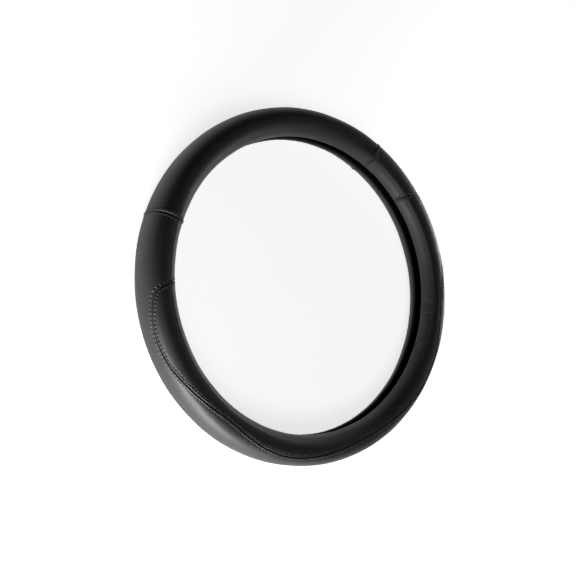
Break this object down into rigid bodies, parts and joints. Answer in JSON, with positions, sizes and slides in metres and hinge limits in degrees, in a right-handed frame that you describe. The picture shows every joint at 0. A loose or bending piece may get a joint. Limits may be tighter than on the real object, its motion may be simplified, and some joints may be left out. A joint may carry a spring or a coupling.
{
  "type": "steering wheel cover",
  "caption": "Round steering wheel cover: black leather panels sewn over a slotted rubber ring, with an S-shaped double-stitched seam round the thumb inlay.",
  "frame": {"origin": "centre of the ring at the height of the surface it lies on", "axes": "+Z is the ring's axis and points to the driver's side, +Y points to 12 o'clock"},
  "size_m": [0.38, 0.38, 0.0454],
  "materials": {
    "top_leather": "smooth black leather, semi-gloss, fine grain",
    "outer_leather": "smooth black leather, semi-gloss, fine grain",
    "inlay_leather": "smooth black leather, semi-gloss, fine grain",
    "rubber": "matt moulded black rubber with grip ribs",
    "thread": "black twisted sewing thread"
  },
  "bodies": {
    "root": {"top_panel": "top_leather", "outer_panel": "outer_leather", "thumb_inlay": "inlay_leather", "rubber_ring": "rubber"}
  },
  "joints": []
}
